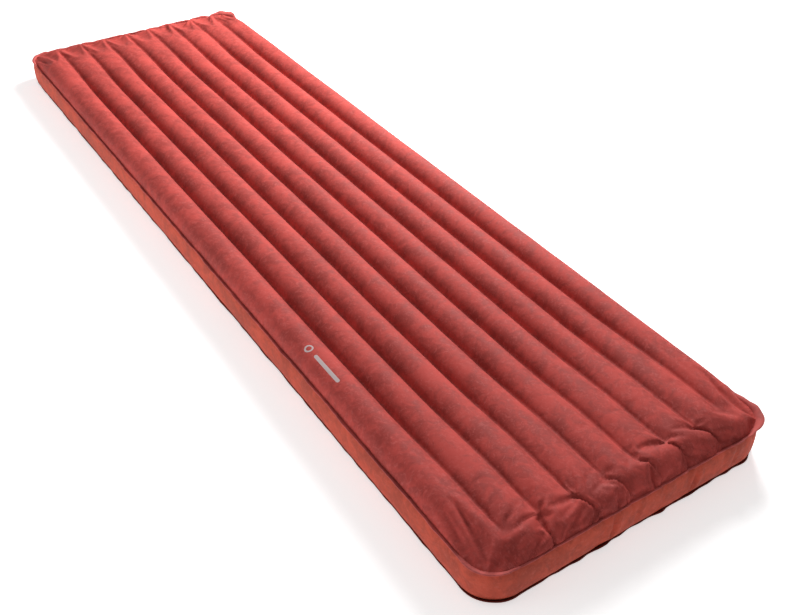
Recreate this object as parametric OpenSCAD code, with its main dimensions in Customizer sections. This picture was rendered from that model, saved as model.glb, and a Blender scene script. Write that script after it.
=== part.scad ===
// Inflatable sleeping pad: nine air tubes side by side between two fabric panels.
// X runs across the pad, +Y towards the head end with the valves, +Z up.
// The origin is on the ground, in the middle of the underside. Millimetres.

/* [Pad] */
// Length between the end seams
pad_len = 1900; // [1600:10:2100]
// Distance between neighbouring baffles
tube_pitch = 60; // [54:1:70]
// Width from the outermost baffle to the side seam
outer_tube_w = 61; // [58:1:72]
// Height of the inflated pad at the crown of its tubes
pad_h = 90; // [84:1:100]
// Corner radius of the seam line
corner_r = 52; // [46:1:52]

/* [Fabric] */
// Thickness of the coated fabric
fabric_t = 0.8; // [0.6:0.1:1]
// Width of the seam lip that stands out all round
lip_w = 7; // [5:1:9]
// Height of the weld plane between the side band and the lower panel
low_seam_z = 3; // [2.5:0.1:4]
// Height of the weld plane between the side band and the upper panel
top_seam_z = 61; // [60:1:66]
// How far the side band bulges outwards between its seams
band_bulge = 4; // [3:0.5:5]
// Depth of the grooves in the upper panel
top_groove = 11; // [8:1:13]
// Depth of the grooves in the lower panel
low_groove = 9; // [6:1:10]
// Width of the weld along each baffle
weld_w = 8; // [6:1:10]
// Distance from the end seams to the ends of the baffles
baffle_gap = 42; // [40:1:60]

/* [Insulation] */
// Thickness of the loft under the upper panel
loft_t = 8; // [4:1:12]
// Distance from the end seams to the ends of the loft
loft_gap = 60; // [50:5:90]

/* [Valves] */
// Distance of each valve from the middle of the head end
valve_x = 120; // [110:1:130]
// Height of the valve axes above the ground
valve_z = 31.5; // [31:0.5:33]
// Radius of the air way through a valve
bore_r = 11; // [9:0.5:11]
// Radius of the weld flange
flange_r = 22; // [21:0.5:22]
// Height of the neck above the head band
neck_h = 9; // [9:0.5:10]

/* [Hidden] */
$fn = 96;

tube_count = 9;
half_len = pad_len / 2;
groove_x = 3.5 * tube_pitch;          // outermost baffle
half_w = groove_x + outer_tube_w;     // side seam
arc_half = (tube_pitch - weld_w) / 2; // half the free width of a tube
outer_crown_x = groove_x + weld_w / 2 + arc_half;
ellipse_a = half_w - outer_crown_x;   // outer flank of an outer tube, across
end_steps = 6;                        // rows of the end rounding, one per 15 degrees
end_run = corner_r * (1 - cos(75));   // length over which the ends rise to full height
top_arc_r = (pow(arc_half, 2) + pow(top_groove, 2)) / (2 * top_groove);

head_face = half_len + band_bulge;    // outer face of the head band
neck_r = 15;
groove_r = 14;                        // neck under the collar
neck_in = 3;                          // neck behind the band
play = 0.3;                           // gap between pieces that move
hinge_y = 20;                         // cap hinge, from the valve axis
hinge_z = 6.6;                        // cap hinge, from the head band
skirt_z = 6.3;                        // lower edge of the cap's skirt
cap_r = 17.4;
ear_in = 5.3;
ear_out = 8;

fabric_red = [0.68, 0.30, 0.26];
fabric_side = [0.62, 0.27, 0.22];
fabric_dark = [0.24, 0.09, 0.08];
web_grey = [0.72, 0.70, 0.68];
loft_white = [0.93, 0.93, 0.90];
plastic_black = [0.09, 0.09, 0.10];
plastic_red = [0.60, 0.16, 0.13];
seal_grey = [0.45, 0.46, 0.47];

// ---- Panels -------------------------------------------------------------------------
// A panel is a height field over the seam outline: columns across the pad, rows along it.
// It is described as if it were the upper one. The lower one is mirrored.
// kind: [seam height, crown height, groove depth, half width of the flat on each crown]
top_kind = [top_seam_z, pad_h, top_groove, 0];
low_kind = [-low_seam_z, 0, low_groove, 12];

// Height of a tube at x from its own middle
function tube_z(kind, x) =
    kind[3] == 0
    ? kind[1] - top_arc_r + sqrt(pow(top_arc_r, 2) - x * x)
    : kind[1] - kind[2] * pow(max(0, abs(x) - kind[3]) / (arc_half - kind[3]), 2);

// Places of the columns of one tube, from its middle
function tube_steps(kind) =
    let (flat = kind[3], side = (arc_half + flat) / 2)
    flat == 0
    ? [for (k = [-3:3]) k * arc_half / 3]
    : [-arc_half, -side, -flat, 0, flat, side, arc_half];

// One column: [x at the outside, height at the outside, x at the inside, height inside]
function plain_column(kind, middle, x) =
    let (z = tube_z(kind, x)) [middle + x, z, middle + x, z - fabric_t];
function flank_column(kind, angle) =
    let (seam = kind[0] + fabric_t, rise = kind[1] - seam)
    [outer_crown_x + ellipse_a * sin(angle), seam + rise * cos(angle),
     outer_crown_x + (ellipse_a - fabric_t) * sin(angle), kind[0] + rise * cos(angle)];
function mirrored(column) = [-column[0], column[1], -column[2], column[3]];

function right_columns(kind) = concat(
    [for (x = tube_steps(kind)) if (x <= 0) plain_column(kind, outer_crown_x, x)],
    [for (k = [1:6]) flank_column(kind, k * 15)]);
function columns(kind) =
    let (right = right_columns(kind), last = len(right) - 1)
    concat(
        [for (k = [0:last]) mirrored(right[last - k])],
        [for (tube = [-3:3]) each [for (x = tube_steps(kind)) plain_column(kind, tube * tube_pitch, x)]],
        right);

// Rows: [side of the pad, corner angle], from the foot end to the head end
rows = concat(
    [for (k = [0:end_steps]) [-1, k * 15]],
    [for (k = [0:end_steps]) [1, (end_steps - k) * 15]]);

// Share of the full height reached at a distance from the end seam
function end_rise(d) = d >= end_run ? 1 : sqrt(1 - pow(1 - d / end_run, 2));
function row_y(row, inset) = row[0] * (half_len - corner_r + (corner_r - inset) * cos(row[1]));
function seam_x(row, inset) = half_w - corner_r + (corner_r - inset) * sin(row[1]);

// The outer tubes narrow towards the corners, the others run straight
function fitted_x(x, row, inset) =
    let (start = groove_x + weld_w / 2, limit = half_w - inset)
    abs(x) <= start ? x
    : sign(x) * (start + (abs(x) - start) * (seam_x(row, inset) - start) / (limit - start));

function outside_point(kind, column, row) =
    let (seam = kind[0] + fabric_t, rise = end_rise(corner_r * (1 - cos(row[1]))))
    [fitted_x(column[0], row, 0), row_y(row, 0), seam + (column[1] - seam) * rise];
function inside_point(kind, column, row) =
    let (rise = end_rise(corner_r * (1 - cos(row[1]))))
    [fitted_x(column[2], row, fabric_t), row_y(row, fabric_t), kind[0] + (column[3] - kind[0]) * rise];

module panel_shell(kind) {
    cols = columns(kind);
    m = len(rows);
    n = len(cols);
    half = m * n;
    outside = [for (row = rows) for (column = cols) outside_point(kind, column, row)];
    inside = [for (row = rows) for (column = cols) inside_point(kind, column, row)];
    // the edge of the field, as [row, column], once round
    edge = concat(
        [for (i = [0:n - 1]) [0, i]],
        [for (j = [1:m - 1]) [j, n - 1]],
        [for (i = [n - 2:-1:0]) [m - 1, i]],
        [for (j = [m - 2:-1:1]) [j, 0]]);
    loop = len(edge);
    lip = [for (e = edge)
        let (row = rows[e[0]], at_end = e[0] == 0 || e[0] == m - 1, side = e[1] == 0 ? -1 : 1,
             p = outside[e[0] * n + e[1]])
        at_end ? [p[0], p[1] + row[0] * lip_w]
        : [p[0] + side * lip_w * sin(row[1]), p[1] + row[0] * lip_w * cos(row[1])]];
    points = concat(outside, inside,
        [for (p = lip) [p[0], p[1], kind[0] + fabric_t]],
        [for (p = lip) [p[0], p[1], kind[0]]]);
    up = 2 * half;
    down = 2 * half + loop;
    faces = concat(
        [for (j = [0:m - 2]) for (i = [0:n - 2])
            let (a = j * n + i, b = a + 1, c = a + n + 1, d = a + n)
            each [[a, c, b], [a, d, c], [half + a, half + b, half + c], [half + a, half + c, half + d]]],
        [for (k = [0:loop - 1])
            let (next = (k + 1) % loop,
                 a = edge[k][0] * n + edge[k][1], b = edge[next][0] * n + edge[next][1])
            each [[a, b, up + next], [a, up + next, up + k],
                  [half + a, down + next, half + b], [half + a, down + k, down + next],
                  [up + k, up + next, down + next], [up + k, down + next, down + k]]]);
    polyhedron(points, faces, convexity = 10);
}

module top_panel() {
    color(fabric_red) panel_shell(top_kind);
}

module bottom_panel() {
    color(fabric_dark) mirror([0, 0, 1]) panel_shell(low_kind);
}

// ---- Side band ----------------------------------------------------------------------
// Section of the band: distance outwards from the seam line, and height
module band_section() {
    low = low_seam_z;
    high = top_seam_z;
    slope = band_bulge * 1.5;
    polygon([
        [-fabric_t, low], [lip_w, low], [lip_w, low + fabric_t], [0, low + fabric_t],
        [band_bulge, low + fabric_t + slope], [band_bulge, high - fabric_t - slope],
        [0, high - fabric_t], [lip_w, high - fabric_t], [lip_w, high], [-fabric_t, high],
        [-fabric_t, high - fabric_t], [band_bulge - fabric_t, high - fabric_t - slope],
        [band_bulge - fabric_t, low + fabric_t + slope], [-fabric_t, low + fabric_t]]);
}

// A straight stretch of band on the +X side of the axis
module band_run(distance, length) {
    translate([distance, length / 2, 0]) rotate([90, 0, 0]) linear_extrude(length) band_section();
}

module band_corner() {
    translate([half_w - corner_r, half_len - corner_r, 0])
        rotate_extrude(angle = 90) translate([corner_r, 0]) band_section();
}

side_run = pad_len - 2 * corner_r;
end_run_w = 2 * (half_w - corner_r);

module side_band() {
    color(fabric_side) union() {
        for (side = [0, 1]) mirror([side, 0, 0]) {
            band_run(half_w, side_run);
            for (end = [0, 1]) mirror([0, end, 0]) band_corner();
        }
        rotate([0, 0, -90]) band_run(half_len, end_run_w);
    }
}

module head_band() {
    color(fabric_side) difference() {
        rotate([0, 0, 90]) band_run(half_len, end_run_w);
        for (side = [-1, 1]) translate([side * valve_x, head_face - 5, valve_z])
            rotate([-90, 0, 0]) cylinder(h = 10, r = neck_r + 0.1);
    }
}

// Backing strips welded inside over the two joins of the band
module band_join_strips() {
    strip_w = 16;
    strip_t = 0.5;
    strip_h = 42;
    color(fabric_side) for (side = [-1, 1])
        translate([side * (half_w - corner_r - strip_w / 2) - strip_w / 2,
                   head_face - fabric_t - strip_t, valve_z - strip_h / 2])
            cube([strip_w, strip_t, strip_h]);
}

// ---- Baffles and loft ---------------------------------------------------------------
module baffle(number) {
    flange_t = 0.6;
    web_t = 0.8;
    low = low_groove + fabric_t;
    high = pad_h - top_groove - fabric_t;
    length = pad_len - 2 * baffle_gap;
    color(web_grey) translate([(number - 4.5) * tube_pitch, length / 2, 0]) rotate([90, 0, 0])
        linear_extrude(length) union() {
            translate([-web_t / 2, low]) square([web_t, high - low]);
            translate([-weld_w / 2, low]) square([weld_w, flange_t]);
            translate([-weld_w / 2, high - flange_t]) square([weld_w, flange_t]);
        }
}

// A curved batt of fibre loft that hangs under the crown of one tube
module insulation(number) {
    top_r = top_arc_r - fabric_t - 0.5;
    reach = 22;
    outer_reach = 14; // less on the flank that falls to the side seam
    length = pad_len - 2 * loft_gap;
    left = number == 1 ? outer_reach : reach;
    right = number == tube_count ? outer_reach : reach;
    color(loft_white) translate([(number - 5) * tube_pitch, length / 2, pad_h - top_arc_r])
        rotate([90, 0, 0]) linear_extrude(length) intersection() {
            difference() {
                circle(r = top_r);
                circle(r = top_r - loft_t);
            }
            translate([-left, 0]) square([left + right, 2 * top_r]);
        }
}

// ---- Valves -------------------------------------------------------------------------
// Each valve piece is drawn about its own axis, +Z out of the pad and +Y upwards,
// and then set in the head band.
module at_valve(side) {
    translate([side * valve_x, head_face, valve_z]) rotate([-90, 180, 0]) children();
}

module valve_base() {
    lead = 0.8;
    rotate_extrude() polygon([
        [bore_r, -neck_in], [neck_r, -neck_in], [neck_r, 0], [flange_r, 0], [flange_r, 0.6],
        [flange_r - 0.8, 1.2], [neck_r + 2, 1.2], [neck_r + 1.4, 1.8], [groove_r, 1.8],
        [groove_r, 4.6], [neck_r, 4.6], [neck_r, neck_h - lead], [neck_r - lead, neck_h],
        [bore_r, neck_h]]);
}

// Outline of one of the three openings between the spokes of a grid
module grid_opening(spoke_w, hub_r) {
    outer_turn = asin(spoke_w / 2 / bore_r);
    hub_turn = asin(spoke_w / 2 / hub_r);
    steps = 16;
    polygon(concat(
        [for (k = [0:steps]) let (a = outer_turn + (120 - 2 * outer_turn) * k / steps) bore_r * [cos(a), sin(a)]],
        [for (k = [steps:-1:0]) let (a = hub_turn + (120 - 2 * hub_turn) * k / steps) hub_r * [cos(a), sin(a)]]));
}

// Disc with three spokes that closes the inner end of the air way
module valve_grid(lugs) {
    thick = 2;
    difference() {
        translate([0, 0, -neck_in - thick]) cylinder(h = thick, r = neck_r);
        for (turn = [90, 210, 330]) rotate([0, 0, turn])
            translate([0, 0, -neck_in - thick - 1]) linear_extrude(thick + 2) grid_opening(1.6, 3);
    }
    if (lugs) for (side = [-1, 1]) translate([side * 3.9 - 0.7, 0, 0]) flap_lug();
}

flap_y = 13.5;                         // flap hinge, from the valve axis
flap_z = -neck_in - 2 - play - 0.9;    // flap hinge, from the head band
module flap_lug() {
    difference() {
        union() {
            translate([0, flap_y, flap_z]) rotate([0, 90, 0]) cylinder(h = 1.4, r = 1.3);
            translate([0, flap_y - 1.2, flap_z]) cube([1.4, 2.4, -neck_in - 1 - flap_z]);
        }
        translate([-1, flap_y, flap_z]) rotate([0, 90, 0]) cylinder(h = 4, r = 0.6);
    }
}

module valve_flap() {
    thick = 0.8;
    bar_half = 2.9;
    translate([0, 0, -neck_in - 2 - play - thick]) cylinder(h = thick, r = bore_r + 0.9);
    translate([-bar_half, 8, -neck_in - 2 - play - thick]) cube([2 * bar_half, flap_y - 8, thick]);
    translate([-bar_half, flap_y, flap_z]) rotate([0, 90, 0]) cylinder(h = 2 * bar_half, r = 0.9);
    translate([-4.6, flap_y, flap_z]) rotate([0, 90, 0]) cylinder(h = 9.2, r = 0.55);
}

// Collar that turns on the neck and carries the cap's hinge in two ears
module cap_collar() {
    low = 1.8 + play;
    high = 4.6 - play;
    ear_r = 2.4;
    difference() {
        union() {
            translate([0, 0, low]) cylinder(h = high - low, r = 18.4);
            translate([-ear_out, 8, low]) cube([2 * ear_out, hinge_y + ear_r - 8, high - low]);
            for (side = [-1, 1]) translate([side < 0 ? -ear_out : ear_in, 0, 0]) {
                translate([0, hinge_y, hinge_z]) rotate([0, 90, 0]) cylinder(h = ear_out - ear_in, r = ear_r);
                translate([0, hinge_y - ear_r, low]) cube([ear_out - ear_in, 2 * ear_r, hinge_z - low]);
            }
        }
        translate([0, 0, low - 1]) cylinder(h = high - low + 2, r = groove_r + play);
        translate([-ear_out - 1, hinge_y, hinge_z]) rotate([0, 90, 0]) cylinder(h = 2 * ear_out + 2, r = 1.05);
    }
}

// Cap whose skirt closes over the outside of the neck, with its hinge bar and pull tab
module cap() {
    ceiling = neck_h + play + 0.8;
    top = ceiling + 1.9;
    skirt_in = neck_r + play;
    arm_half = ear_in - play;
    bar_r = 1.9;
    rotate_extrude() polygon([
        [0, ceiling], [skirt_in, ceiling], [skirt_in, skirt_z], [cap_r, skirt_z],
        [cap_r, top - 0.9], [cap_r - 0.9, top], [9, top], [8.4, top - 0.5], [0, top - 0.5]]);
    translate([-arm_half, neck_r + 1, hinge_z]) cube([2 * arm_half, hinge_y - neck_r - 1, bar_r]);
    translate([-arm_half, hinge_y, hinge_z]) rotate([0, 90, 0]) cylinder(h = 2 * arm_half, r = bar_r);
    translate([-ear_out, hinge_y, hinge_z]) rotate([0, 90, 0]) cylinder(h = 2 * ear_out, r = 1);
    translate([-5, -20, skirt_z]) cube([10, 4, 2]);
    translate([0, -20, skirt_z]) intersection() {
        cylinder(h = 2, r = 5);
        translate([-6, -3.4, 0]) cube([12, 6, 2]);
    }
}

module cap_seal() {
    translate([0, 0, neck_h + play]) difference() {
        cylinder(h = 0.8, r = neck_r - 0.4);
        translate([0, 0, -1]) cylinder(h = 3, r = bore_r + 0.6);
    }
}

module inflate_valve_base() { color(plastic_black) at_valve(-1) valve_base(); }
module inflate_valve_grid() { color(plastic_black) at_valve(-1) valve_grid(true); }
module inflate_valve_flap() { color(seal_grey) at_valve(-1) valve_flap(); }
module inflate_cap_collar() { color(plastic_black) at_valve(-1) cap_collar(); }
module inflate_cap() { color(plastic_black) at_valve(-1) cap(); }
module inflate_cap_seal() { color(seal_grey) at_valve(-1) cap_seal(); }
module deflate_valve_base() { color(plastic_black) at_valve(1) valve_base(); }
module deflate_valve_grid() { color(plastic_black) at_valve(1) valve_grid(false); }
module deflate_cap_collar() { color(plastic_black) at_valve(1) cap_collar(); }
module deflate_cap() { color(plastic_red) at_valve(1) cap(); }
module deflate_cap_seal() { color(seal_grey) at_valve(1) cap_seal(); }

top_panel();
bottom_panel();
side_band();
head_band();
band_join_strips();
for (i = [1:8]) baffle(i);
for (i = [1:9]) insulation(i);
inflate_valve_base();
inflate_valve_grid();
inflate_valve_flap();
inflate_cap_collar();
inflate_cap();
inflate_cap_seal();
deflate_valve_base();
deflate_valve_grid();
deflate_cap_collar();
deflate_cap();
deflate_cap_seal();
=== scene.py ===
import math

import bmesh
import bpy
import numpy as np
from bpy.props import FloatProperty, FloatVectorProperty, IntProperty, PointerProperty
from mathutils import Matrix, Vector, noise
from mathutils.bvhtree import BVHTree


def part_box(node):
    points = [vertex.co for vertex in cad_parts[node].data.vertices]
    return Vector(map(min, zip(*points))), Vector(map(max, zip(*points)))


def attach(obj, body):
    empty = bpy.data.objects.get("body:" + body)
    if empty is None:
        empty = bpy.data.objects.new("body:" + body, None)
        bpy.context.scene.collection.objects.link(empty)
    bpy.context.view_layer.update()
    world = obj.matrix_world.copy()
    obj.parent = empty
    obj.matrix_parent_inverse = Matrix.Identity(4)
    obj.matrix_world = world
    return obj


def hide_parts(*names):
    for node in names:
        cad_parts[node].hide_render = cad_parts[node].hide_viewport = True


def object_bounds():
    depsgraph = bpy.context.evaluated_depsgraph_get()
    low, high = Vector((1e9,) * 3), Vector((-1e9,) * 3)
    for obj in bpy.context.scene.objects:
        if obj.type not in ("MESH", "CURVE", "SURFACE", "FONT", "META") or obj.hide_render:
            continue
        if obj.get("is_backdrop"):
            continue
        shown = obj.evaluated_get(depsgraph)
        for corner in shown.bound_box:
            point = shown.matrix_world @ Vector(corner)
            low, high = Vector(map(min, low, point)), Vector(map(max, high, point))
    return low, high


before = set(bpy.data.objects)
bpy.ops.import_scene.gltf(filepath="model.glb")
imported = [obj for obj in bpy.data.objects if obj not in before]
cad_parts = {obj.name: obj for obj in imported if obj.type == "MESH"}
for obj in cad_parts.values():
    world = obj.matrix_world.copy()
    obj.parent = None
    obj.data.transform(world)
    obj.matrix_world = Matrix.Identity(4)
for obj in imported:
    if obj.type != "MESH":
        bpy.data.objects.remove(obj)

bl_info = {
    "name": "Inflatable sleeping pad",
    "version": (1, 0, 0),
    "blender": (4, 5, 0),
    "location": "View3D > Sidebar > Sleeping pad",
    "description": "Builds the fabric, the valves and the stage of an inflatable sleeping pad",
    "category": "Object",
}

CAD_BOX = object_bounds()


# ---- Measures taken from the frame ------------------------------------------------------

def middle(node, axis):
    """Middle of a node's box on one axis"""
    low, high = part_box(node)
    return (low[axis] + high[axis]) / 2


# the lips stand 7 mm out from the seams, and the valve flanges lie on the band
LIP = 0.007
FLANGE_BED = 0.004
BAFFLE_GAP = 0.001

GROOVES = [middle(f"baffle_{number}", 0) for number in range(1, 9)]
PITCH = GROOVES[1] - GROOVES[0]
HALF_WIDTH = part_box("top_panel")[1][0] - LIP
HALF_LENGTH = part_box("top_panel")[1][1] - LIP
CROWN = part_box("top_panel")[1][2]
GROOVE_GAP = HALF_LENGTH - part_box("baffle_1")[1][1] - BAFFLE_GAP
VALVES = {"inflate": middle("inflate_valve_base", 0), "deflate": middle("deflate_valve_base", 0)}
VALVE_Z = middle("inflate_valve_base", 2)
BAND_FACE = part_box("head_band")[1][1] - LIP + FLANGE_BED


# ---- Sizes and colours that a user may change -------------------------------------------

def length_property(name, description, default):
    return FloatProperty(name=name, description=description, default=default,
                         min=0.0, precision=4, subtype="DISTANCE", unit="LENGTH")


def colour_property(name, description, default):
    return FloatVectorProperty(name=name, description=description, default=default,
                               size=3, min=0.0, max=1.0, subtype="COLOR")


class PanelSizes(bpy.types.PropertyGroup):
    """Shape of the blown-up pad"""
    half_width: length_property("Half width", "Middle of the pad to the side seam", HALF_WIDTH)
    half_length: length_property("Half length", "Middle of the pad to an end seam", HALF_LENGTH)
    corner: length_property("Corner radius", "Radius of the seam line at the corners", 0.052)
    crown: length_property("Crown height", "Height of the tubes", CROWN)
    groove: length_property("Groove height", "Height of the welds along the baffles", 0.0705)
    end_groove: length_property("End groove height", "Height of the welds at their ends", 0.079)
    groove_slope: length_property("Groove slope", "Length over which a weld sinks", 0.22)
    seam: length_property("Upper seam height", "Height of the upper seam", 0.0614)
    low_seam: length_property("Lower seam height", "Height of the lower seam", 0.0034)
    low_groove: length_property("Lower groove height", "Height of the lower welds", 0.009)
    weld: length_property("Half weld width", "Half the width of a groove's floor", 0.0015)
    groove_gap: length_property("Groove gap", "End seam to the ends of the grooves", GROOVE_GAP)
    end_run: length_property("Foot rounding", "Length over which the foot end rises", 0.048)
    head_run: length_property("Head rounding", "Length over which the head end rises", 0.027)
    wall: length_property("Fabric thickness", "Thickness of the coated fabric", 0.0006)
    bulge: length_property("Band bulge", "How far the side band swells", 0.0055)


class ClothSettings(bpy.types.PropertyGroup):
    """How the free cloth at the two ends is blown up"""
    depth: length_property("Depth", "Length of each end that is simulated", 0.135)
    step: length_property("Mesh step", "Distance between cloth vertices", 0.0034)
    seed_depth: length_property("Seed depth", "Depth of the first dent along each crease", 0.0035)
    seed_width: length_property("Seed width", "Width of the first dent", 0.0045)
    cut_corner: length_property("Cut corner", "Corner radius of the flat cut", 0.058)
    taken_up: FloatProperty(name="Taken up", description="Share of the width that the end seam "
                            "takes up in fine pleats", default=0.03)
    foot_slack: FloatProperty(name="Foot slack", default=0.93,
                              description="Share of the spare length left at the foot end")
    head_slack: FloatProperty(name="Head slack", default=0.9,
                              description="Share of the spare length left at the head end")
    pressure: FloatProperty(name="Pressure", description="Air pressure in the pad", default=60.0)
    stretch: FloatProperty(name="Stretch", description="Stiffness along the threads", default=100.0)
    shear: FloatProperty(name="Shear", description="Stiffness across the threads", default=20.0)
    bend: FloatProperty(name="Bend", description="Stiffness against folding", default=2.0)
    frames: IntProperty(name="Frames", description="Length of the simulation", default=36)
    travel: IntProperty(name="Travel", description="Frames in which the welds close in", default=12)
    easing: IntProperty(name="Easing", description="Turns of smoothing at the corners", default=6)


class SeamSizes(bpy.types.PropertyGroup):
    """Welded lips that stand out along the two seams"""
    upper_width: length_property("Upper lip", "Width of the upper lip", 0.0052)
    lower_width: length_property("Lower lip", "Width of the lower lip", 0.0034)
    lip_wall: length_property("Lip thickness", "Two layers of fabric", 0.0012)
    spacing: length_property("Spacing", "Distance between points along a lip", 0.0035)


class FabricColours(bpy.types.PropertyGroup):
    """Colours of the fabrics"""
    top: colour_property("Upper fabric", "Colour of the upper panel", (0.44, 0.060, 0.050))
    side: colour_property("Band fabric", "Colour of the side band", (0.46, 0.072, 0.042))
    base: colour_property("Lower fabric", "Colour of the lower panel", (0.12, 0.018, 0.012))
    printed: colour_property("Printed mark", "Colour of the printed mark", (0.55, 0.50, 0.50))
    web: colour_property("Baffle fabric", "Colour of the baffles", (0.48, 0.45, 0.43))
    loft: colour_property("Loft", "Colour of the fibre loft", (0.82, 0.82, 0.78))


class ValveColours(bpy.types.PropertyGroup):
    """Colours of the valves"""
    plastic: colour_property("Plastic", "Colour of the valve bodies", (0.012, 0.012, 0.013))
    red: colour_property("Red cap", "Colour of the deflating cap", (0.32, 0.025, 0.018))
    rubber: colour_property("Rubber", "Colour of seals and flap", (0.17, 0.175, 0.18))


class StageSettings(bpy.types.PropertyGroup):
    """Camera, lights and floor"""
    azimuth: FloatProperty(name="Azimuth", description="Camera azimuth",
                           default=math.radians(-33.909), subtype="ANGLE")
    elevation: FloatProperty(name="Elevation", description="Camera elevation",
                             default=math.radians(38.407), subtype="ANGLE")
    roll: FloatProperty(name="Roll", description="Camera roll",
                        default=math.radians(0.746), subtype="ANGLE")
    lens: FloatProperty(name="Lens", description="Focal length on a 36 mm sensor, in mm",
                        default=44.8)
    place: FloatVectorProperty(name="Camera place", description="Where the camera stands",
                               default=(-0.8022, -1.5332, 1.1356), subtype="TRANSLATION")
    floor: colour_property("Floor", "Colour of the floor", (0.93, 0.93, 0.93))
    glow: FloatProperty(name="Floor glow", description="Light that the floor gives off", default=0.55)
    key_power: FloatProperty(name="Key power", description="Power of the key light", default=63.0)
    key_place: FloatVectorProperty(name="Key place", description="Where the key light stands",
                                   default=(1.25, 0.75, 1.25), subtype="TRANSLATION")
    key_size: length_property("Key size", "Width of the key light", 0.8)
    fill_power: FloatProperty(name="Fill power", description="Power of the low fill light",
                              default=24.0)
    fill_place: FloatVectorProperty(name="Fill place", description="Where the fill light stands",
                                    default=(-2.4, 0.3, 0.30), subtype="TRANSLATION")
    sky: FloatProperty(name="Sky", description="Strength of the even light", default=0.31)


# ---- Shape of the panels ----------------------------------------------------------------

def even_line(points, count):
    """Points at even distances along a line of (x, z) pairs, and their distances"""
    points = np.array(points)
    runs = np.concatenate([[0], np.cumsum(np.hypot(*np.diff(points, axis=0).T))])
    at = np.linspace(0, runs[-1], count + 1)
    return np.interp(at, runs, points[:, 0]), np.interp(at, runs, points[:, 1]), at


def tube_arc(size, crown, groove):
    """Half width, radius and half angle of the arc over one tube"""
    reach = PITCH / 2 - size.weld
    sag = crown - groove
    radius = (reach * reach + sag * sag) / (2 * sag)
    return reach, radius, math.asin(reach / radius)


def columns(size, crown, groove, seam, step):
    """Columns across the pad: place, height and place in the flat cut"""
    reach, radius, half = tube_arc(size, crown, groove)
    count = max(4, round(2 * radius * half / step))
    angles = np.linspace(-half, half, count + 1)
    arc_x, arc_z = radius * np.sin(angles), crown - radius * (1 - np.cos(angles))
    arc_s = radius * (angles + half)
    start = count // 2
    xs, zs = list(arc_x[start:]), list(arc_z[start:])
    ss = list(arc_s[start:] - arc_s[start])
    xs[-1] += size.weld
    ss[-1] += size.weld
    for tube in (1, 2, 3):
        base = ss[-1] + size.weld
        xs += list(tube * PITCH + arc_x[1:])
        zs += list(arc_z[1:])
        ss += list(base + arc_s[1:])
        xs[-1] += size.weld
        ss[-1] += size.weld
    peak = 3.5 * PITCH + size.weld + reach
    line = [(peak + radius * math.sin(a), crown - radius * (1 - math.cos(a)))
            for a in np.linspace(-half, 0, 60)]
    line += [(peak + (size.half_width - peak) * math.sin(a), seam + (crown - seam) * math.cos(a))
             for a in np.linspace(0, math.pi / 2, 160)[1:]]
    flank_x, flank_z, flank_s = even_line(line, max(8, round(
        np.hypot(*np.diff(np.array(line), axis=0).T).sum() / step)))
    base = ss[-1] + size.weld
    xs += list(flank_x[1:])
    zs += list(flank_z[1:])
    ss += list(base + flank_s[1:])
    mirror = lambda values, sign: [sign * v for v in reversed(values[1:])] + values
    return np.array(mirror(xs, -1)), np.array(mirror(zs, 1)), np.array(mirror(ss, -1))


def end_rows(run, rise, depth, count):
    """Rows of one end: distance to the seam in plan, share of the height, flat distance"""
    line_d, line_h, runs = even_line(
        [(run * (1 - math.cos(a)), rise * math.sin(a))
         for a in np.linspace(0, math.pi / 2, 300)], 299)
    spare = runs[-1] - run
    flat = np.linspace(0, depth + spare, count)
    gap = np.where(flat < runs[-1], np.interp(flat, runs, line_d), flat - spare)
    share = np.where(flat < runs[-1], np.interp(flat, runs, line_h) / rise, 1.0)
    return gap, share, flat


def rounded(offset, gap, half_width, corner):
    """Plan place of a column and a row once the corner is rounded"""
    a = (np.abs(offset) - (half_width - corner)) / corner
    b = (corner - gap) / corner
    inside = (a <= 0) | (b <= 0)
    a, b = np.clip(a, 0, 1), np.clip(b, 0, 1)
    x = np.where(inside, np.abs(offset),
                 half_width - corner + corner * a * np.sqrt(1 - b ** 2 / 2))
    y = np.where(inside, gap, corner - corner * b * np.sqrt(1 - a ** 2 / 2))
    return np.sign(offset) * x, y


# Creases that run from the groove ends to the end seams, as offsets to the right in
# millimetres: half way, and at the seam
CREASES = {
    -1: [(-9, -17), (-3, -4), (12, 18), (15, 15), (15, 16), (11, 8), (15, 22), (18, 24)],
    1: [(-7, -12), (9, 13), (-8, -13), (10, 12), (7, 11), (-9, -12), (9, 15), (8, 12)],
}
MILLI = 0.001


def wander(place, scale, seed):
    """Smooth noise from -1 to 1 along a line or over a surface"""
    return noise.noise(Vector(place) * scale + Vector((seed, 0.37 * seed, 0.11 * seed)))


def seam_shift(place, level, seed):
    """How far a seam strays from its line: outwards and upwards, in metres"""
    strays = [wander((place.x, place.y, level + turn), scale, seed)
              for turn, scale in ((0, 26), (3, 70), (7, 22), (9, 64))]
    return 0.0007 * strays[0] + 0.0005 * strays[1], 0.0010 * strays[2] + 0.0005 * strays[3]


def weld_depth(size, cloth, gap):
    """Share of a groove's full depth at a distance from the end seam: shallow at its ends"""
    least = (size.crown - size.end_groove) / (size.crown - size.groove)
    share = np.clip((gap - cloth.depth) / size.groove_slope, 0, 1)
    return least + (1 - least) * share * share * (3 - 2 * share)


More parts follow.
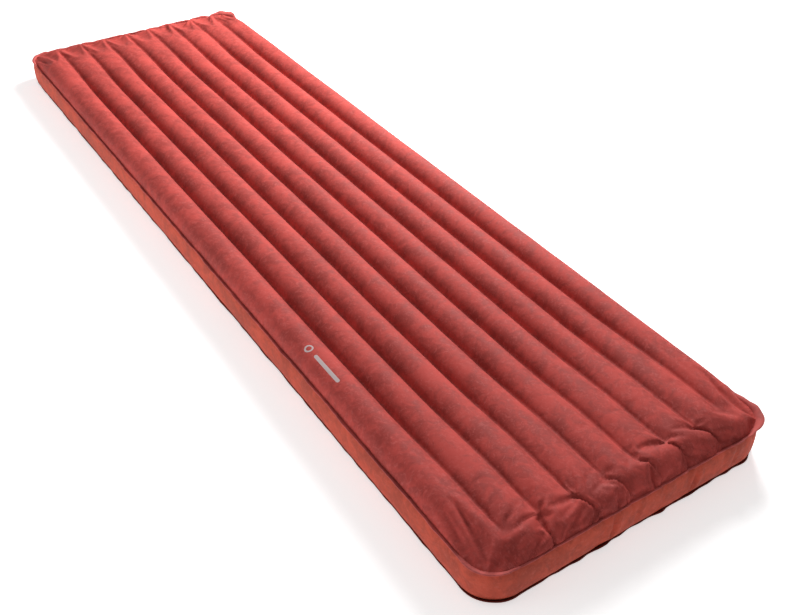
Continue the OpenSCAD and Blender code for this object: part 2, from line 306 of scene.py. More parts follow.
def panel_points(size, cloth, kind):
    """The whole panel as rows of points, before any cloth is blown up.

    Also gives the columns' and the end rows' places in the flat cut, the number of rows in
    an end, and each row's distance to its end seam along the cut.
    """
    if kind == "top":
        crown, groove, seam = size.crown, size.groove, size.seam
        step = cloth.step
    else:
        crown, groove, seam = 0.003, -size.low_groove, -size.low_seam
        step = 0.0055
    xs, zs, ss = columns(size, crown, groove, seam, step)
    count = round((cloth.depth + 0.014) / step) + 1
    gap, share, flat = end_rows(size.end_run, crown - seam, cloth.depth, count)
    head_gap, head_share, head_flat = end_rows(size.head_run, crown - seam, cloth.depth, count)
    if kind != "top":
        zs = np.minimum(zs, 0.0)
    inner = size.half_length - cloth.depth
    inner_rows = np.linspace(-inner, inner, round(2 * inner / 0.012) + 1)[1:-1]
    rows = []
    for near_gap, h in zip(gap, share):
        rows.append((-1, near_gap, h))
    for y in inner_rows:
        rows.append((math.copysign(1, y), size.half_length - abs(y), 1.0))
    for far_gap, h in zip(head_gap[::-1], head_share[::-1]):
        rows.append((1, far_gap, h))
    points = np.zeros((len(rows), len(xs), 3))
    for j, (side, row_gap, h) in enumerate(rows):
        x, y = rounded(xs, row_gap, size.half_width, size.corner)
        fade = np.clip((row_gap - 0.004) / size.groove_gap, 0, 1)
        fade = fade * fade * (3 - 2 * fade)
        if kind == "top":
            fade = fade * weld_depth(size, cloth, row_gap)
        z = np.where(np.abs(xs) < 3.5 * PITCH + 0.02, crown + (zs - crown) * fade, zs)
        points[j, :, 0] = x
        points[j, :, 1] = side * (size.half_length - y)
        points[j, :, 2] = seam + (z - seam) * h
    if kind != "top":
        points[:, :, 2] *= -1
        points[:, :, 2] = np.maximum(points[:, :, 2], 0.0002)
    rows_flat = np.concatenate([flat, np.full(len(inner_rows), flat[-1]), head_flat[::-1]])
    return points, ss, (flat, head_flat), count, rows_flat


def edge_loop(rows, cols):
    """Indices (row, column) once round the edge of a grid, anticlockwise from above"""
    return ([(0, i) for i in range(cols)] + [(j, cols - 1) for j in range(1, rows)]
            + [(rows - 1, i) for i in range(cols - 2, -1, -1)]
            + [(j, 0) for j in range(rows - 2, 0, -1)])


def outward(size, point):
    """Direction out of the seam line, in plan"""
    x = max(abs(point[0]) - (size.half_width - size.corner), 0)
    y = max(abs(point[1]) - (size.half_length - size.corner), 0)
    if x == 0 and y == 0:
        return Vector((math.copysign(1, point[0]), 0, 0))
    return Vector((math.copysign(x, point[0]), math.copysign(y, point[1]), 0)).normalized()


def crease_lines(size, side):
    """Creases of one end in plan: lists of (x, distance to the seam)"""
    lines = []
    for groove, (half, full) in zip(GROOVES, CREASES[side]):
        lines.append([(groove, size.groove_gap), (groove + half * MILLI, 0.021),
                      (groove + full * MILLI, 0.0)])
    return lines


def settle_seam(size, points, kind):
    """Let the edge of a panel stray a little, with a notch where each crease meets it"""
    rows, cols = points.shape[:2]
    level = {"top": 0.0, "bottom": 5.0}[kind]
    notches = {side: [line[-1][0] for line in crease_lines(size, side)] for side in (-1, 1)}
    for j, i in edge_loop(rows, cols):
        place = Vector(points[j, i])
        out, up = seam_shift(place, level, 4.0)
        side = -1 if place.y < 0 else 1
        if kind == "top" and abs(place.y) > size.half_length - 0.02:
            for x in notches[side]:
                near = math.exp(-((place.x - x) / 0.0045) ** 2)
                out -= 0.0018 * near
                up -= 0.0012 * near
        if kind == "top":
            # the corner nearest to the right curls up
            lift = max(0.0, 1 - (Vector((place.x - 0.262, place.y + 0.925))).length / 0.06)
            up += 0.003 * lift * lift * (3 - 2 * lift)
        direction = outward(size, place)
        if kind == "bottom":
            up = 0.4 * up
        points[j, i] = place + direction * out + Vector((0, 0, up))
    return points


def grid_mesh(name, points):
    """A mesh over rows of points, with its vertices in row order"""
    rows, cols = points.shape[:2]
    bm = bmesh.new()
    bmesh.ops.create_grid(bm, x_segments=cols - 1, y_segments=rows - 1, size=1)
    bm.verts.sort(key=lambda v: round((v.co.y + 1) * (rows - 1) / 2) * cols
                  + round((v.co.x + 1) * (cols - 1) / 2))
    mesh = bpy.data.meshes.new(name)
    bm.to_mesh(mesh)
    bm.free()
    mesh.vertices.foreach_set("co", points.reshape(-1))
    mesh.update()
    return mesh


# ---- Cloth ------------------------------------------------------------------------------

def blown_end(context, size, cloth, points, flat, side):
    """One end of the upper panel, cut flat, drawn in to its welds and blown up"""
    count = len(flat)
    goal = points[:count] if side < 0 else points[::-1][:count]
    goal = goal.copy()
    cols = goal.shape[1]
    xs = goal[-1, :, 0]
    ss = np.concatenate([[0], np.cumsum(np.hypot(np.diff(xs), np.diff(goal[-1, :, 2])))])
    ss -= ss[cols // 2]
    half_cut = ss[-1]
    grid_s, grid_t = np.meshgrid(ss, flat)
    slack = cloth.foot_slack if side < 0 else cloth.head_slack
    # the seam takes up part of the spare width, and the ends are cut a little short
    gaps = size.half_length - np.abs(goal[:, cols // 2, 1])
    near_seam = np.clip(1 - grid_t / 0.060, 0, 1)
    taken = 1 - cloth.taken_up * near_seam * near_seam * (3 - 2 * near_seam)
    rest_x, rest_gap = rounded(grid_s, grid_t, half_cut, cloth.cut_corner)
    rest_x = rest_x * taken
    spare = flat[-1] - cloth.depth
    short = np.where(grid_t < 0.080, grid_t * (1 - spare * (1 - slack) / 0.080),
                     grid_t - spare * (1 - slack))
    rest_gap = rest_gap + (short - grid_t) * np.clip((half_cut - np.abs(grid_s)) / 0.05, 0, 1)
    rest = np.zeros_like(goal)
    rest[:, :, 0] = rest_x
    rest[:, :, 1] = side * (size.half_length - rest_gap)
    rest[:, :, 2] = 0.060
    # dents along which the spare cloth will fold
    cut_of = lambda x: np.interp(x, xs, ss)
    flat_of = lambda gap: np.interp(gap, size.half_length - np.abs(goal[:, cols // 2, 1]), flat)
    for line in crease_lines(size, side):
        offs = [cut_of(line[0][0]) + (x - line[0][0]) for x, _ in line]
        along = [flat_of(gap) for _, gap in line]
        path_t = np.array(along[::-1])
        path_s = np.array(offs[::-1])
        bent = np.polyfit(path_t, path_s, 2)
        centre = np.polyval(bent, np.clip(grid_t, 0, along[0])) * taken
        near = np.exp(-((rest_x - centre) / cloth.seed_width) ** 2)
        length = np.clip((along[0] + 0.006 - grid_t) / 0.010, 0, 1)
        rest[:, :, 2] -= cloth.seed_depth * near * length
    stray = np.array([noise.noise_vector(Vector(p) * 60) for p in rest.reshape(-1, 3)])
    rest += 0.00025 * stray.reshape(rest.shape)
    held = np.zeros(goal.shape[:2], dtype=bool)
    for groove in GROOVES:
        column = int(np.argmin(np.abs(xs - groove)))
        held[gaps >= size.groove_gap, column] = True
    held[0, :] = held[:, 0] = held[:, -1] = True
    held[-1, :] = True
    # welds sit at full depth wherever they hold
    for groove in GROOVES:
        column = int(np.argmin(np.abs(xs - groove)))
        shallow = np.clip(1 - (gaps - size.groove_gap) / 0.030, 0, 1) ** 2
        low = gaps >= size.groove_gap
        sunk = (size.crown - size.groove) * weld_depth(size, cloth, gaps[low])
        goal[low, column, 2] = size.crown - sunk + 0.0024 * shallow[low]

    mesh = grid_mesh("cloth_end", rest)
    piece = bpy.data.objects.new("cloth_end", mesh)
    context.scene.collection.objects.link(piece)
    piece.shape_key_add(name="Basis")
    key = piece.shape_key_add(name="blown")
    key.data.foreach_set("co", goal.reshape(-1))
    key.value = 0
    key.keyframe_insert("value", frame=1)
    key.value = 1
    key.keyframe_insert("value", frame=1 + cloth.travel)
    group = piece.vertex_groups.new(name="held")
    group.add([int(v) for v in np.flatnonzero(held.reshape(-1))], 1.0, "REPLACE")
    modifier = piece.modifiers.new("cloth", "CLOTH")
    settings = modifier.settings
    settings.quality = 6
    settings.mass = 0.05
    settings.air_damping = 3
    settings.tension_stiffness = settings.compression_stiffness = cloth.stretch
    settings.shear_stiffness = cloth.shear
    settings.bending_stiffness = cloth.bend
    settings.tension_damping = settings.compression_damping = settings.shear_damping = 5
    settings.bending_damping = 0.5
    settings.use_pressure = True
    settings.uniform_pressure_force = cloth.pressure
    settings.vertex_group_mass = "held"
    settings.pin_stiffness = 1
    settings.effector_weights.gravity = 0
    modifier.collision_settings.use_collision = False
    modifier.point_cache.frame_start = 1
    modifier.point_cache.frame_end = cloth.frames + 1
    for number in range(1, cloth.frames + 1):
        context.scene.frame_set(number)
    shaped = piece.evaluated_get(context.evaluated_depsgraph_get())
    blown = np.zeros(goal.size)
    shaped.data.vertices.foreach_get("co", blown)
    action = mesh.shape_keys.animation_data.action
    bpy.data.objects.remove(piece)
    bpy.data.meshes.remove(mesh)
    if action:
        bpy.data.actions.remove(action)
    context.scene.frame_set(1)
    blown = blown.reshape(goal.shape)
    # the tight gathers at the corners are eased out
    reach = np.hypot(size.half_width - 0.030 - np.abs(blown[:, :, 0]),
                     size.half_length - 0.030 - np.abs(blown[:, :, 1]))
    ease = np.clip(1 - (reach - 0.030) / 0.022, 0, 1)[:, :, None] * 0.9
    for turn in range(cloth.easing):
        around = blown.copy()
        around[1:-1, 1:-1] = (blown[:-2, 1:-1] + blown[2:, 1:-1] + blown[1:-1, :-2]
                              + blown[1:-1, 2:]) / 4
        blown += (around - blown) * ease
    return blown


# ---- Finishing helpers ------------------------------------------------------------------

def add_uv(mesh, u, v):
    """UV map in metres, from one u and one v per vertex"""
    layer = mesh.uv_layers.new(name="cut")
    loops = np.zeros(len(mesh.loops), dtype=np.int32)
    mesh.loops.foreach_get("vertex_index", loops)
    layer.data.foreach_set("uv", np.stack([u[loops], v[loops]], axis=1).reshape(-1))


def add_value(mesh, name, values):
    """A value per vertex that a material can read"""
    mesh.attributes.new(name, "FLOAT", "POINT").data.foreach_set("value", values)


def finish_piece(context, name, mesh, material, slot, body="pad", replaces=()):
    """Put a mesh into the scene as a piece of the pad"""
    piece = bpy.data.objects.new(name, mesh)
    context.scene.collection.objects.link(piece)
    mesh.shade_smooth()
    mesh.materials.append(material)
    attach(piece, body)
    if replaces:
        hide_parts(*replaces)
    return piece


def give_wall(piece, thickness, offset=-1.0):
    """A closed wall behind an open sheet"""
    wall = piece.modifiers.new("wall", "SOLIDIFY")
    wall.thickness = thickness
    wall.offset = offset
    wall.use_even_offset = False
    return wall


# ---- Materials --------------------------------------------------------------------------

def new_group(name, inputs, outputs):
    """A shader group with named sockets, and helpers to fill it"""
    tree = bpy.data.node_groups.new(name, "ShaderNodeTree")
    for socket, kind, default in inputs:
        item = tree.interface.new_socket(socket, in_out="INPUT", socket_type=kind)
        if default is not None:
            item.default_value = default
    for socket, kind in outputs:
        tree.interface.new_socket(socket, in_out="OUTPUT", socket_type=kind)
    return tree, tree.nodes.new("NodeGroupInput"), tree.nodes.new("NodeGroupOutput")


def math_node(tree, operation, first, second=None, clamp=False):
    """A math node whose inputs are sockets or numbers"""
    node = tree.nodes.new("ShaderNodeMath")
    node.operation = operation
    node.use_clamp = clamp
    for socket, value in zip(node.inputs, (first, second)):
        if value is None:
            continue
        if isinstance(value, (int, float)):
            socket.default_value = value
        else:
            tree.links.new(value, socket)
    return node.outputs[0]


def noise_node(tree, vector, scale, detail=2.0, roughness=0.5, distortion=0.0):
    """Noise at a scale given in waves to the metre"""
    node = tree.nodes.new("ShaderNodeTexNoise")
    node.inputs["Scale"].default_value = scale
    node.inputs["Detail"].default_value = detail
    node.inputs["Roughness"].default_value = roughness
    node.inputs["Distortion"].default_value = distortion
    tree.links.new(vector, node.inputs["Vector"])
    return node.outputs["Fac"]


def ramp(tree, value, low, high):
    """Smooth step from 0 at low to 1 at high"""
    node = tree.nodes.new("ShaderNodeMapRange")
    node.interpolation_type = "SMOOTHSTEP"
    node.inputs["From Min"].default_value = low
    node.inputs["From Max"].default_value = high
    tree.links.new(value, node.inputs["Value"])
    return node.outputs["Result"]


def suede_group():
    """Cloudy, flecked surface of a soft coated fabric"""
    tree, source, result = new_group("Soft fabric mottle", [
        ("Place", "NodeSocketVector", None)], [
        ("Clouds", "NodeSocketFloat"), ("Flecks", "NodeSocketFloat"), ("Nap", "NodeSocketFloat")])
    place = source.outputs["Place"]
    broad = noise_node(tree, place, 14, 3, 0.55, 0.4)
    patches = noise_node(tree, place, 52, 4, 0.62, 0.8)
    clouds = math_node(tree, "ADD", math_node(tree, "MULTIPLY", broad, 0.45),
                       math_node(tree, "MULTIPLY", patches, 0.55))
    tree.links.new(ramp(tree, clouds, 0.38, 0.62), result.inputs["Clouds"])
    fine = noise_node(tree, place, 150, 5, 0.66, 1.0)
    streaks = noise_node(tree, place, 75, 3, 0.6, 2.0)
    flecks = math_node(tree, "MULTIPLY", ramp(tree, fine, 0.42, 0.66),
                       ramp(tree, streaks, 0.40, 0.64))
    tree.links.new(flecks, result.inputs["Flecks"])
    nap = math_node(tree, "ADD", math_node(tree, "MULTIPLY", fine, 0.6),
                    math_node(tree, "MULTIPLY", noise_node(tree, place, 700, 2), 0.4))
    tree.links.new(nap, result.inputs["Nap"])
    return tree


def weave_group():
    """Threads of a plain weave, from a map in metres"""
    tree, source, result = new_group("Plain weave", [
        ("Map", "NodeSocketVector", None), ("Threads", "NodeSocketFloat", 1400.0)], [
        ("Height", "NodeSocketFloat")])
    split = tree.nodes.new("ShaderNodeSeparateXYZ")
    tree.links.new(source.outputs["Map"], split.inputs[0])
    waves = []
    for axis in ("X", "Y"):
        turn = math_node(tree, "MULTIPLY", split.outputs[axis], source.outputs["Threads"])
        waves.append(math_node(tree, "ABSOLUTE", math_node(tree, "SINE", turn)))
    tree.links.new(math_node(tree, "MAXIMUM", *waves), result.inputs["Height"])
    return tree


def pucker_group():
    """Small pleats that run square to a welded seam and fade away from it"""
    tree, source, result = new_group("Seam pleats", [
        ("Run", "NodeSocketFloat", 0.0), ("Gap", "NodeSocketFloat", 1.0),
        ("Reach", "NodeSocketFloat", 0.014)], [("Height", "NodeSocketFloat")])
    line = tree.nodes.new("ShaderNodeCombineXYZ")
    tree.links.new(source.outputs["Run"], line.inputs["X"])
    pleats = noise_node(tree, line.outputs[0], 230, 2, 0.6)
    sharp = ramp(tree, pleats, 0.35, 0.62)
    share = math_node(tree, "DIVIDE", source.outputs["Gap"], source.outputs["Reach"])
    fade = math_node(tree, "EXPONENT", math_node(tree, "MULTIPLY", share, -1.0))
    tree.links.new(math_node(tree, "MULTIPLY", sharp, fade), result.inputs["Height"])
    return tree


def mark_group():
    """A plain printed mark: a ring, and a bar with round ends"""
    tree, source, result = new_group("Printed ring and bar", [
        ("Place", "NodeSocketVector", None)], [("Mask", "NodeSocketFloat")])
    split = tree.nodes.new("ShaderNodeSeparateXYZ")
    tree.links.new(source.outputs["Place"], split.inputs[0])
    x, y = split.outputs["X"], split.outputs["Y"]
    span = lambda a, b: math_node(tree, "SQRT", math_node(
        tree, "ADD", math_node(tree, "MULTIPLY", a, a), math_node(tree, "MULTIPLY", b, b)))
    ring = math_node(tree, "ABSOLUTE", math_node(
        tree, "SUBTRACT", span(x, math_node(tree, "SUBTRACT", y, 0.043)), 0.0062))
    ring = math_node(tree, "LESS_THAN", ring, 0.0015)
    beyond = math_node(tree, "MAXIMUM", math_node(
        tree, "SUBTRACT", math_node(tree, "ABSOLUTE", math_node(tree, "ADD", y, 0.014)), 0.034), 0.0)
    bar = math_node(tree, "LESS_THAN", span(x, beyond), 0.0032)
    tree.links.new(math_node(tree, "MAXIMUM", ring, bar), result.inputs["Mask"])
    return tree


def group_of(name, maker):
    """The named shader group, built the first time that it is asked for"""
    return bpy.data.node_groups.get(name) or maker()


def place_group(tree, group, **links):
    """A shader group placed in a material, with its inputs linked or set"""
    node = tree.nodes.new("ShaderNodeGroup")
    node.node_tree = group
    for name, value in links.items():
        if isinstance(value, (int, float)):
            node.inputs[name].default_value = value
        else:
            tree.links.new(value, node.inputs[name])
    return node


def mix_colour(tree, mask, first, second):
    """Two colours, as sockets or numbers, mixed by a mask"""
    node = tree.nodes.new("ShaderNodeMix")
    node.data_type = "RGBA"
    tree.links.new(mask, node.inputs["Factor"])
    colours = [s for s in node.inputs if s.type == "RGBA"]
    for socket, value in zip(colours, (first, second)):
        if isinstance(value, bpy.types.NodeSocket):
            tree.links.new(value, socket)
        else:
            socket.default_value = (*value, 1)
    return [s for s in node.outputs if s.type == "RGBA"][0]


def toned(colour, factor, pale=0.0):
    """A colour made darker or lighter, and paler"""
    return tuple(min(1.0, c * factor * (1 - pale) + pale) for c in colour)


def start_material(name, roughness, sheen=0.0, sheen_tint=(1, 1, 1), specular=0.5):
    """A material with the shader values that are the same all over the surface"""
    material = bpy.data.materials.new(name)
    material.use_nodes = True
    tree = material.node_tree
    shader = tree.nodes["Principled BSDF"]
    shader.inputs["Roughness"].default_value = roughness
    shader.inputs["Sheen Weight"].default_value = sheen
    shader.inputs["Sheen Roughness"].default_value = 0.45
    shader.inputs["Sheen Tint"].default_value = (*sheen_tint, 1)
    shader.inputs["Specular IOR Level"].default_value = specular
    return material, tree, shader


def add_bump(tree, shader, height, strength):
    """Relief from a height in metres"""
    bump = tree.nodes.new("ShaderNodeBump")
    bump.inputs["Strength"].default_value = strength
    bump.inputs["Distance"].default_value = 1.0
    tree.links.new(height, bump.inputs["Height"])
    tree.links.new(bump.outputs["Normal"], shader.inputs["Normal"])


def fabric_material(name, colour, mark=None, flecks=0.45, clouds=0.22, pleats=0.00055,
                    roughness=0.72, sheen=0.03):
    """Soft coated fabric with a cloudy nap, a fine weave and pleats along its seams, with painted
    shade in the pleats
    """
    material, tree, shader = start_material(name, roughness, sheen, toned(colour, 1.2, 0.1), 0.14)
    coordinates = tree.nodes.new("ShaderNodeTexCoord")
    place = coordinates.outputs["Object"]
    mottle = place_group(tree, group_of("Soft fabric mottle", suede_group), Place=place)
    shade = mix_colour(tree, mottle.outputs["Clouds"], toned(colour, 1 - clouds),
                       toned(colour, 1 + clouds * 0.8))
    fleck = math_node(tree, "MULTIPLY", mottle.outputs["Flecks"], flecks)
    shade = mix_colour(tree, fleck, shade, toned(colour, 1.34, 0.055))
    gap = tree.nodes.new("ShaderNodeAttribute")
    gap.attribute_name = "seam_gap"
    run = tree.nodes.new("ShaderNodeAttribute")
    run.attribute_name = "seam_run"
    pucker = place_group(tree, group_of("Seam pleats", pucker_group),
                         Run=run.outputs["Fac"], Gap=gap.outputs["Fac"])
    # painted shade: the colour is darkened along the seam pleats to stand for the shade in their folds
    pleat_shade = math_node(tree, "MULTIPLY", pucker.outputs["Height"], 0.28 if pleats else 0.0)
    shade = mix_colour(tree, pleat_shade, shade, toned(colour, 0.55))
    if mark:
        mapping = tree.nodes.new("ShaderNodeMapping")
        mapping.inputs["Location"].default_value = tuple(-c for c in mark["place"])
        tree.links.new(place, mapping.inputs["Vector"])
        printed = place_group(tree, group_of("Printed ring and bar", mark_group),
                              Place=mapping.outputs["Vector"])
        mask = math_node(tree, "MULTIPLY", printed.outputs["Mask"], 0.85)
        shade = mix_colour(tree, mask, shade, mark["colour"])
    tree.links.new(shade, shader.inputs["Base Color"])
    rough = math_node(tree, "ADD", math_node(tree, "MULTIPLY", mottle.outputs["Clouds"], 0.12),
                      roughness - 0.06)
    tree.links.new(rough, shader.inputs["Roughness"])
    weave = place_group(tree, group_of("Plain weave", weave_group), Map=coordinates.outputs["UV"])
    height = math_node(tree, "ADD",
                       math_node(tree, "MULTIPLY", mottle.outputs["Nap"], 0.00028),
                       math_node(tree, "MULTIPLY", weave.outputs["Height"], 0.00004))
    height = math_node(tree, "ADD", height,
                       math_node(tree, "MULTIPLY", pucker.outputs["Height"], -pleats * 2))
    add_bump(tree, shader, height, 0.8)
    return material


def moulded_material(name, colour, roughness=0.42, grain=0.00006):
    """Moulded plastic or rubber with a fine spark-eroded grain"""
    material, tree, shader = start_material(name, roughness, specular=0.5)
    place = tree.nodes.new("ShaderNodeTexCoord").outputs["Object"]
    grains = noise_node(tree, place, 2400, 3, 0.6)
    smears = noise_node(tree, place, 70, 3, 0.6)
    shade = mix_colour(tree, ramp(tree, smears, 0.35, 0.7), toned(colour, 0.85),
                       toned(colour, 1.25, 0.004))
    tree.links.new(shade, shader.inputs["Base Color"])
    rough = math_node(tree, "ADD", math_node(tree, "MULTIPLY", smears, 0.2), roughness - 0.1)
    tree.links.new(rough, shader.inputs["Roughness"])
    add_bump(tree, shader, math_node(tree, "MULTIPLY", grains, grain), 0.6)
    return material


def loft_material(name, colour):
    """Fibre loft: tangled fine strands"""
    material, tree, shader = start_material(name, 0.95, 0.4, colour, 0.1)
    place = tree.nodes.new("ShaderNodeTexCoord").outputs["Object"]
    strands = noise_node(tree, place, 420, 5, 0.75, 3.0)
    tufts = noise_node(tree, place, 60, 4, 0.6, 0.8)
    both = math_node(tree, "MULTIPLY", strands, tufts)
    shade = mix_colour(tree, ramp(tree, both, 0.12, 0.42), toned(colour, 0.66),
                       toned(colour, 1.0, 0.2))
    tree.links.new(shade, shader.inputs["Base Color"])
    add_bump(tree, shader, math_node(tree, "MULTIPLY", both, 0.003), 1.0)
    return material


# ---- Operators --------------------------------------------------------------------------

class SLEEPINGPAD_OT_stage(bpy.types.Operator):
    """Build the floor, the lights and the camera"""
    bl_idname = "sleepingpad.stage"
    bl_label = "Stage"
    bl_options = {"REGISTER", "UNDO"}

    def execute(self, context):
        scene = context.scene
        settings = scene.pad_stage
        bm = bmesh.new()
        bmesh.ops.create_grid(bm, x_segments=2, y_segments=2, size=14)
        mesh = bpy.data.meshes.new("floor")
        bm.to_mesh(mesh)
        bm.free()
        floor = bpy.data.objects.new("floor", mesh)
        scene.collection.objects.link(floor)
        material, tree, shader = start_material("pale floor", 0.9, specular=0.1)
        place = tree.nodes.new("ShaderNodeTexCoord").outputs["Object"]
        tone = mix_colour(tree, noise_node(tree, place, 3, 2), toned(settings.floor, 0.99),
                          settings.floor)
        tree.links.new(tone, shader.inputs["Base Color"])
        shader.inputs["Emission Color"].default_value = (1, 1, 1, 1)
        shader.inputs["Emission Strength"].default_value = settings.glow
        mesh.materials.append(material)
        floor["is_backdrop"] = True

        world = bpy.data.worlds.new("studio")
        world.use_nodes = True
        background = world.node_tree.nodes["Background"]
        background.inputs["Color"].default_value = (1, 1, 1, 1)
        # the backdrop itself stays white, whatever light it gives
        seen = world.node_tree.nodes.new("ShaderNodeLightPath").outputs["Is Camera Ray"]
        strength = math_node(world.node_tree, "MAXIMUM", seen, settings.sky)
        world.node_tree.links.new(strength, background.inputs["Strength"])
        scene.world = world
        scene.view_settings.view_transform = "Standard"

        for name, place, target, across_, power in (
                ("key light", settings.key_place, (0, 0.1, 0), settings.key_size,
                 settings.key_power),
                ("fill light", settings.fill_place, (0, 0, 0.05), 1.2, settings.fill_power)):
            data = bpy.data.lights.new(name, "AREA")
            data.energy = power
            data.size = across_
            light = bpy.data.objects.new(name, data)
            light.location = place
            aim = Vector(target) - Vector(place)
            light.rotation_euler = aim.to_track_quat("-Z", "Y").to_euler()
            scene.collection.objects.link(light)

        azimuth, elevation, roll = settings.azimuth, settings.elevation, settings.roll
        back = Vector((math.sin(azimuth) * math.cos(elevation),
                       -math.cos(azimuth) * math.cos(elevation), math.sin(elevation)))
        right = Vector((math.cos(azimuth), math.sin(azimuth), 0))
        up = back.cross(right)
        turned_right = math.cos(roll) * right + math.sin(roll) * up
        turned_up = math.cos(roll) * up - math.sin(roll) * right
        data = bpy.data.cameras.new("camera")
        data.sensor_width = 36
        data.lens = settings.lens
        data.clip_start = 0.01
        camera = bpy.data.objects.new("camera", data)
        matrix = Matrix((turned_right, turned_up, back)).transposed().to_4x4()
        matrix.translation = settings.place
        camera.matrix_world = matrix
        scene.collection.objects.link(camera)
        scene.camera = camera
        return {"FINISHED"}


def panel_values(mesh, size, points, ss, rows_flat):
    """UV map and seam distances of a panel"""
    rows, cols = points.shape[:2]
    u = np.tile(ss, rows)
    v = points[:, :, 1].reshape(-1).copy()
    add_uv(mesh, u, v)
    side_gap = np.tile(ss[-1] - np.abs(ss), rows)
    end_gap = np.repeat(rows_flat, cols)
    end_gap = np.where(np.abs(v) < size.half_length - 0.14, 1.0, end_gap)
    add_value(mesh, "seam_gap", np.minimum(side_gap, end_gap).astype(np.float32))
    add_value(mesh, "seam_run", np.where(end_gap < side_gap, u, v * 0.55).astype(np.float32))


class SLEEPINGPAD_OT_top_panel(bpy.types.Operator):
    """Blow up the upper panel: nine tubes, with gathered cloth at both ends"""
    bl_idname = "sleepingpad.top_panel"
    bl_label = "Upper panel"
    bl_options = {"REGISTER", "UNDO"}

    def execute(self, context):
        scene = context.scene
        size, cloth, colours = scene.pad_panel, scene.pad_cloth, scene.pad_fabric
        points, ss, flats, count, rows_flat = panel_points(size, cloth, "top")
        points = settle_seam(size, points, "top")
        rows, cols = points.shape[:2]
        # slow swells along the tubes, and grooves that wander a little
        for j in range(count, rows - count):
            y = points[j, 0, 1]
            calm = min(1.0, (size.half_length - cloth.depth - abs(y)) / 0.05)
            for i in range(1, cols - 1):
                x, _, z = points[j, i]
                swell = (0.0009 * wander((x * 2.2, y, 0), 7, 11.0)
                         + 0.0004 * wander((x, y, 0), 34, 5.0))
                sway = 0.0007 * wander((x * 0.3, y, 5), 5, 2.0)
                points[j, i, 2] = z + swell * calm
                points[j, i, 0] = x + sway * calm
        points[:count] = blown_end(context, size, cloth, points, flats[0], -1)
        points[-count:] = blown_end(context, size, cloth, points, flats[1], 1)[::-1]
        mesh = grid_mesh("top_fabric", points)
        panel_values(mesh, size, points, ss, rows_flat)
        material = fabric_material("upper fabric", colours.top,
                                   mark={"place": (-0.2475, -0.490, 0), "colour": colours.printed})
        piece = finish_piece(context, "top_fabric", mesh, material, "top_fabric",
                             replaces=("top_panel",))
        give_wall(piece, size.wall)
        return {"FINISHED"}


class SLEEPINGPAD_OT_bottom_panel(bpy.types.Operator):
    """Lay the lower panel: shallow tubes, flat where they rest on the ground"""
    bl_idname = "sleepingpad.bottom_panel"
    bl_label = "Lower panel"
    bl_options = {"REGISTER", "UNDO"}

    def execute(self, context):
        scene = context.scene
        size, cloth, colours = scene.pad_panel, scene.pad_cloth, scene.pad_fabric
        points, ss, _, _, rows_flat = panel_points(size, cloth, "bottom")
        points = settle_seam(size, points, "bottom")
        mesh = grid_mesh("bottom_fabric", points)
        panel_values(mesh, size, points, ss, rows_flat)
        mesh.flip_normals()
        material = fabric_material("lower fabric", colours.base, flecks=0.12)
        piece = finish_piece(context, "bottom_fabric", mesh, material, "base_fabric",
                             replaces=("bottom_panel",))
        give_wall(piece, size.wall)
        return {"FINISHED"}


# Folds that stand in the band: place on the near end, lean, depth
BAND_FOLDS = [(-0.049, 0.007, 0.0052), (0.110, 0.009, 0.0055), (-0.004, 0.004, 0.0022),
              (-0.166, -0.003, 0.0012), (0.196, 0.004, 0.0016)]


def seam_loop(size, cloth, kind):
    """The upper or the lower seam as points once round"""
    points = settle_seam(size, panel_points(size, cloth, kind)[0], kind)
    return [Vector(points[index]) for index in edge_loop(*points.shape[:2])]


def loop_runs(loop):
    """Distance along a closed loop to each of its points, and round to the first again"""
    closed = loop + [loop[0]]
    return np.concatenate([[0], np.cumsum([(b - a).length for a, b in zip(closed, closed[1:])])])


def resample(loop, spacing):
    """Even points round a closed loop, and their distances along it"""
    runs = loop_runs(loop)
    at = np.linspace(0, runs[-1], round(runs[-1] / spacing), endpoint=False)
    closed = np.array([tuple(p) for p in loop + [loop[0]]])
    even = np.stack([np.interp(at, runs, closed[:, axis]) for axis in range(3)], axis=1)
    return [Vector(p) for p in even], at


def closed_ring(bm, points):
    """New vertices joined into a ring, and its edges"""
    verts = [bm.verts.new(p) for p in points]
    return verts, [bm.edges.new(pair) for pair in zip(verts, verts[1:] + verts[:1])]


def next_row(bm, verts, edges):
    """Extrude a ring of edges once: the new ring's vertices, in the same order, and its edges"""
    made = bmesh.ops.extrude_edge_only(bm, edges=edges)["geom"]
    fresh = {item for item in made if isinstance(item, bmesh.types.BMVert)}
    following = {edge.other_vert(vert): vert for vert in fresh for edge in vert.link_edges
                 if edge.other_vert(vert) not in fresh}
    return ([following[vert] for vert in verts],
            [item for item in made if isinstance(item, bmesh.types.BMEdge)
             and item.verts[0] in fresh and item.verts[1] in fresh])


def closest_on(loop, point):
    """The point of a closed loop that is nearest, seen from above"""
    ends = np.roll(loop, -1, axis=0)
    steps = ends - loop
    reach = (steps[:, :2] ** 2).sum(axis=1)
    along = ((np.array(point)[:2] - loop[:, :2]) * steps[:, :2]).sum(axis=1)
    nearest = loop + steps * np.clip(along / np.maximum(reach, 1e-12), 0, 1)[:, None]
    gaps = np.hypot(nearest[:, 0] - point.x, nearest[:, 1] - point.y)
    return nearest[int(np.argmin(gaps))]


